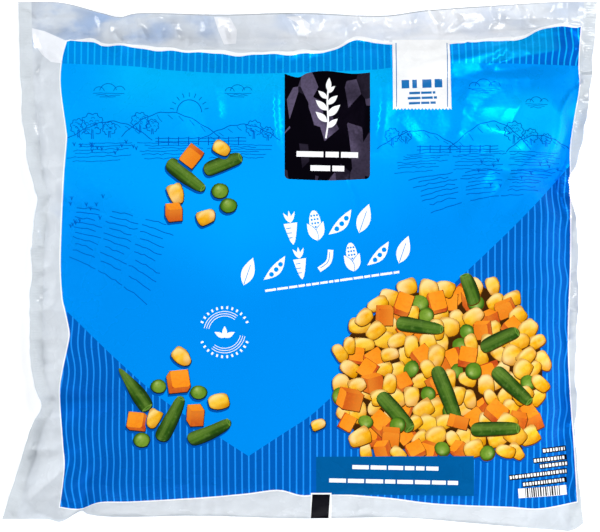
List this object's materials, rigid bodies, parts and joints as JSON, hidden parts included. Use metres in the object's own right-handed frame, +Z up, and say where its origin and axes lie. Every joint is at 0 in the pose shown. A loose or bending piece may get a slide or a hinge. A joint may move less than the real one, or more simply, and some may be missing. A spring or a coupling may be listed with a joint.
{
  "type": "frozen vegetable bag",
  "caption": "Filled pillow bag of frozen mixed vegetables lying on its back, with crimped end seals and a printed front.",
  "frame": {"origin": "on the ground under the middle of the bag's outline, with the bag lying on its back", "axes": "+Z up, out of the printed front; +Y towards the bag's top edge; +X to the right of the print, across both end seals"},
  "size_m": [0.3894, 0.3448, 0.0613],
  "materials": {
    "film": "glossy printed polyethylene film, white at the margins and on the back, bright blue on the front"
  },
  "bodies": {
    "root": {"bag": "film"}
  },
  "joints": []
}
